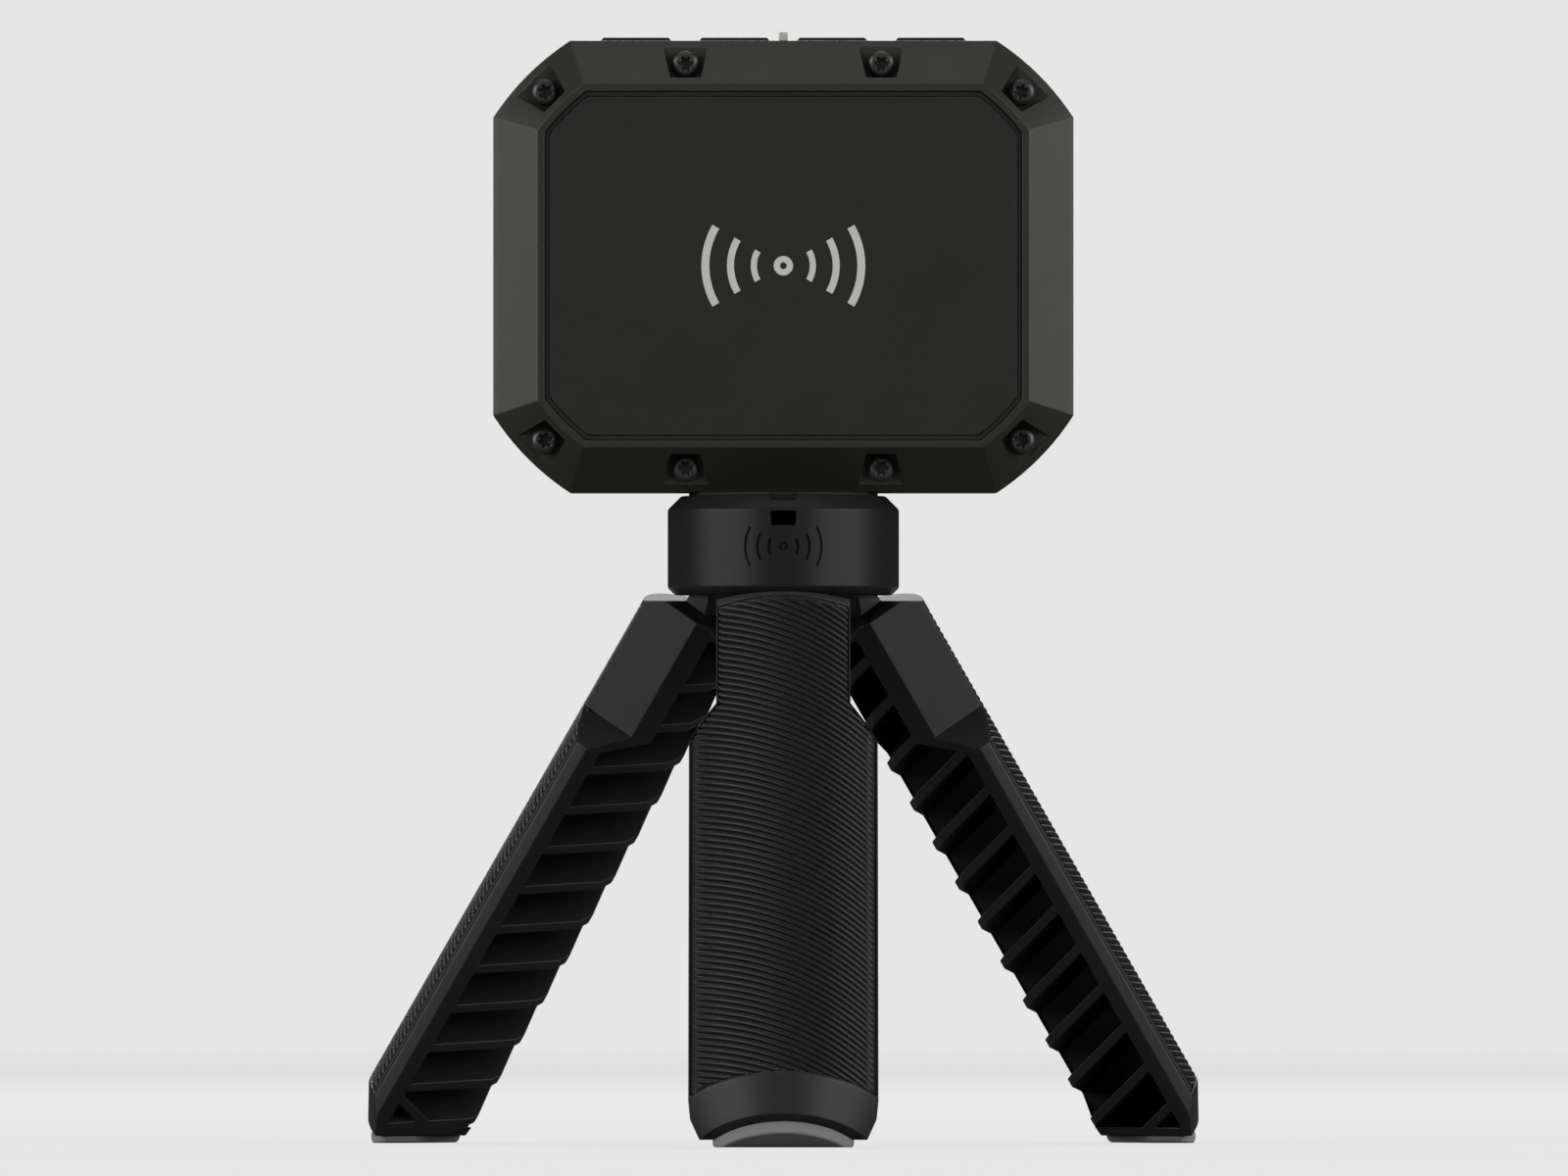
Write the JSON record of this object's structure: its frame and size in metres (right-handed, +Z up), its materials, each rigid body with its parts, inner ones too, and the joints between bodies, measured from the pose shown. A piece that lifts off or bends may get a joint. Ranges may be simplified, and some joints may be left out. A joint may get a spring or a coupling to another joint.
{
  "type": "launch monitor",
  "caption": "Pocket radar launch monitor for golf: flat octagonal head with a bezel and radar panel, screwed onto a folding three-leg stand that closes into a round handle.",
  "frame": {"origin": "middle of the footprint's bounding box, on the surface that the feet stand on", "axes": "+Z up, the radar panel and the front leg face -Y, +X to the right seen from the front"},
  "size_m": [0.1282, 0.1161, 0.1707],
  "materials": {
    "stand_plastic": "fine moulded satin",
    "leg_plastic": "fine moulded satin",
    "grip_rubber": "soft touch, fine curved grooves",
    "foot_rubber": "matt",
    "inner_plastic": "glass-filled nylon, matt",
    "steel": "zinc plated",
    "screw_steel": "blackened, worn on the lobes",
    "bronze": "plain",
    "black_rubber": "matt",
    "bezel_plastic": "fine moulded texture",
    "panel_plastic": "smooth satin",
    "gasket_rubber": "matt",
    "board_green": "solder mask",
    "board_blue": "solder mask",
    "gold": "gold plated copper",
    "can_steel": "tinned",
    "housing_plastic": "fine moulded texture",
    "seal_rubber": "silicone",
    "brass": "machined",
    "pad_rubber": "matt",
    "grey_plastic": "satin",
    "battery_wrap": "shrink film",
    "nickel": "nickel strip",
    "chip_resin": "matt resin",
    "flex_film": "polyimide film",
    "connector_plastic": "natural nylon",
    "switch_metal": "tinned",
    "led_resin": "clear resin",
    "clear_plastic": "clear",
    "button_plastic": "satin",
    "cap_rubber": "matt"
  },
  "bodies": {
    "stand": {"collar": "stand_plastic", "leg_hub": "inner_plastic", "hub_screws": "steel", "mount_stud": "steel", "leg_pins": "steel", "friction_washers": "bronze"},
    "front_leg": {"front_leg_frame": "leg_plastic", "front_leg_grip": "grip_rubber", "front_leg_foot": "foot_rubber"},
    "right_leg": {"right_leg_frame": "leg_plastic", "right_leg_grip": "grip_rubber", "right_leg_foot": "foot_rubber"},
    "left_leg": {"left_leg_frame": "leg_plastic", "left_leg_grip": "grip_rubber", "left_leg_foot": "foot_rubber"},
    "pad": {"mount_pad": "black_rubber"},
    "head": {"front_bezel": "bezel_plastic", "bezel_screws": "screw_steel", "radome_panel": "panel_plastic", "panel_gasket": "gasket_rubber", "radar_board": "board_green", "antenna_patches": "gold", "shield_cans": "can_steel", "rear_housing": "housing_plastic", "housing_seal": "seal_rubber", "thread_insert": "brass", "top_pads": "pad_rubber", "sight_rib": "grey_plastic", "battery": "battery_wrap", "battery_tray": "inner_plastic", "battery_tabs": "nickel", "main_board": "board_blue", "board_chips": "chip_resin", "board_screws": "steel", "flex_cable": "flex_film", "flex_connectors": "connector_plastic", "usb_socket": "can_steel", "usb_socket_tongue": "chip_resin", "usb_cap_pin": "steel", "power_switch": "switch_metal", "button_seal": "black_rubber", "status_led": "led_resin", "light_pipe": "clear_plastic"},
    "power_button": {"power_button": "button_plastic"},
    "usb_cap": {"usb_cap": "cap_rubber"}
  },
  "joints": [
    {"name": "front_leg_fold", "type": "hinge", "parent": "stand", "child": "front_leg", "pos_m": [0, 0.00129, 0.08912], "axis": [1, 0, 0], "range_deg": [0, 33.6]},
    {"name": "right_leg_fold", "type": "hinge", "parent": "stand", "child": "right_leg", "pos_m": [0.01039, 0.01929, 0.08912], "axis": [-0.5, 0.866, 0], "range_deg": [0, 33.6]},
    {"name": "left_leg_fold", "type": "hinge", "parent": "stand", "child": "left_leg", "pos_m": [-0.01039, 0.01929, 0.08912], "axis": [-0.5, -0.866, 0], "range_deg": [0, 33.6]},
    {"name": "pad_lift", "type": "slide", "parent": "stand", "child": "pad", "axis": [0, 0, 1], "range_m": [0, 0.00635]},
    {"name": "head_unscrew", "type": "hinge", "parent": "pad", "child": "head", "pos_m": [0, 0.01329, 0.1], "axis": [0, 0, 1], "range_deg": [0, 1800]},
    {"name": "power_press", "type": "slide", "parent": "head", "child": "power_button", "axis": [0, -1, 0], "range_m": [0, 0.0008], "stiffness_N_per_m": 1500},
    {"name": "usb_cap_swing", "type": "hinge", "parent": "head", "child": "usb_cap", "pos_m": [-0.022, 0.02544, 0.1132], "axis": [-1, 0, 0], "range_deg": [0, 110]}
  ],
  "couplings": [
    {"joint": "pad_lift", "follows": "head_unscrew", "m_per_rad": 0.000202}
  ]
}
